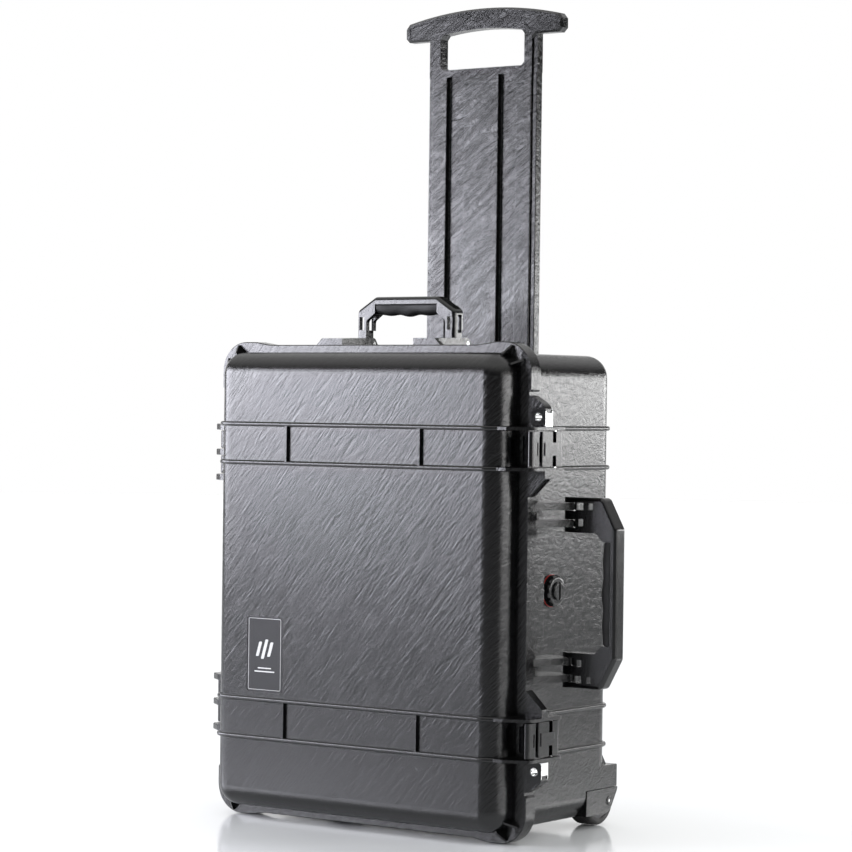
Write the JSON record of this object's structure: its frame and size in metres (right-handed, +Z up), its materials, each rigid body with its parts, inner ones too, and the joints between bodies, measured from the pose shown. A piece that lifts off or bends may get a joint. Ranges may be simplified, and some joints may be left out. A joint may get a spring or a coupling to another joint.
{
  "type": "hard equipment case",
  "caption": "Wheeled hard equipment case with a hinged lid, over-centre latches, fold-down carry handles, a pressure valve and a pull-up trolley handle.",
  "frame": {"origin": "on the floor, under the middle of the bounding box with the trolley handle pulled up and the side handle out", "axes": "+Z up with the case standing on its wheel end, -Y out of the lid front, +X out of the latch side"},
  "size_m": [0.5296, 0.268, 0.9703],
  "materials": {
    "case_plastic": "fine moulded texture",
    "handle_plastic": "satin moulded",
    "latch_plastic": "satin moulded",
    "trolley_plastic": "fine moulded texture",
    "black_nylon": "satin moulded",
    "wheel_hub": "satin moulded",
    "bush": "plain bearing nylon",
    "grip_rubber": "soft overmoulding",
    "seal_rubber": "smooth",
    "red_seal": "smooth",
    "valve_membrane": "porous membrane",
    "tyre": "hard rubber tread",
    "label": "satin film",
    "hasp_steel": "polished stainless",
    "steel_pin": "ground stainless"
  },
  "bodies": {
    "base": {"base_shell": "case_plastic", "valve_body": "black_nylon", "valve_seal": "red_seal", "valve_membrane": "valve_membrane", "valve_nut": "black_nylon", "trolley_guide_screws": "steel_pin", "trolley_stop": "trolley_plastic", "hinge_pin_upper": "steel_pin", "hinge_pin_lower": "steel_pin", "latch_pin_upper": "steel_pin", "latch_pin_lower": "steel_pin", "base_hasp_upper": "hasp_steel", "base_hasp_lower": "hasp_steel", "side_handle_pin_upper": "steel_pin", "side_handle_pin_lower": "steel_pin", "top_handle_pin_right": "steel_pin", "top_handle_pin_left": "steel_pin", "trolley_guide_right": "trolley_plastic", "trolley_guide_left": "trolley_plastic", "wheel_housing_right": "case_plastic", "wheel_housing_left": "case_plastic", "wheel_cover_right": "case_plastic", "wheel_cover_left": "case_plastic", "wheel_axle_right": "steel_pin", "wheel_axle_left": "steel_pin"},
    "lid": {"lid_shell": "case_plastic", "lid_gasket": "seal_rubber", "label_plate": "label", "lid_hasp_upper": "hasp_steel", "lid_hasp_lower": "hasp_steel"},
    "latch_lever_upper_body": {"latch_lever_upper": "latch_plastic", "latch_hook_pin_upper": "steel_pin"},
    "latch_hook_upper_body": {"latch_hook_upper": "latch_plastic"},
    "latch_lever_lower_body": {"latch_lever_lower": "latch_plastic", "latch_hook_pin_lower": "steel_pin"},
    "latch_hook_lower_body": {"latch_hook_lower": "latch_plastic"},
    "side_handle": {"side_handle_frame": "handle_plastic", "side_handle_grip": "grip_rubber"},
    "top_handle": {"top_handle_frame": "handle_plastic", "top_handle_grip": "grip_rubber"},
    "trolley_handle": {"trolley_panel": "trolley_plastic", "trolley_grip": "trolley_plastic", "trolley_grip_inlay": "trolley_plastic", "trolley_glide_right": "black_nylon", "trolley_glide_left": "black_nylon"},
    "wheel_right": {"wheel_tyre_right": "tyre", "wheel_hub_right": "wheel_hub", "wheel_bush_right": "bush"},
    "wheel_left": {"wheel_tyre_left": "tyre", "wheel_hub_left": "wheel_hub", "wheel_bush_left": "bush"}
  },
  "joints": [
    {"name": "lid_hinge", "type": "hinge", "parent": "base", "child": "lid", "pos_m": [-0.25775, -0.086, 0.2805], "axis": [0, 0, -1], "range_deg": [0, 105]},
    {"name": "latch_lever_upper", "type": "hinge", "parent": "base", "child": "latch_lever_upper_body", "pos_m": [0.19525, -0.059, 0.44165], "axis": [0, 0, 1], "range_deg": [0, 110]},
    {"name": "latch_hook_upper", "type": "hinge", "parent": "latch_lever_upper_body", "child": "latch_hook_upper_body", "pos_m": [0.19375, -0.089, 0.44165], "axis": [0, 0, 1], "range_deg": [0, 25]},
    {"name": "latch_lever_lower", "type": "hinge", "parent": "base", "child": "latch_lever_lower_body", "pos_m": [0.19525, -0.059, 0.11935], "axis": [0, 0, 1], "range_deg": [0, 110]},
    {"name": "latch_hook_lower", "type": "hinge", "parent": "latch_lever_lower_body", "child": "latch_hook_lower_body", "pos_m": [0.19375, -0.089, 0.11935], "axis": [0, 0, 1], "range_deg": [0, 25]},
    {"name": "side_handle_fold", "type": "hinge", "parent": "base", "child": "side_handle", "pos_m": [0.19925, -0.026, 0.2805], "axis": [0, 0, 1], "range_deg": [0, 90]},
    {"name": "top_handle_fold", "type": "hinge", "parent": "base", "child": "top_handle", "pos_m": [-0.03375, -0.022, 0.56], "axis": [-1, 0, 0], "range_deg": [0, 90]},
    {"name": "trolley_slide", "type": "slide", "parent": "base", "child": "trolley_handle", "axis": [0, 0, 1], "range_m": [-0.41, 0]},
    {"name": "wheel_spin_right", "type": "hinge", "parent": "base", "child": "wheel_right", "pos_m": [0.14625, 0.101, 0.03], "axis": [1, 0, 0], "continuous": true},
    {"name": "wheel_spin_left", "type": "hinge", "parent": "base", "child": "wheel_left", "pos_m": [-0.21375, 0.101, 0.03], "axis": [1, 0, 0], "continuous": true}
  ]
}
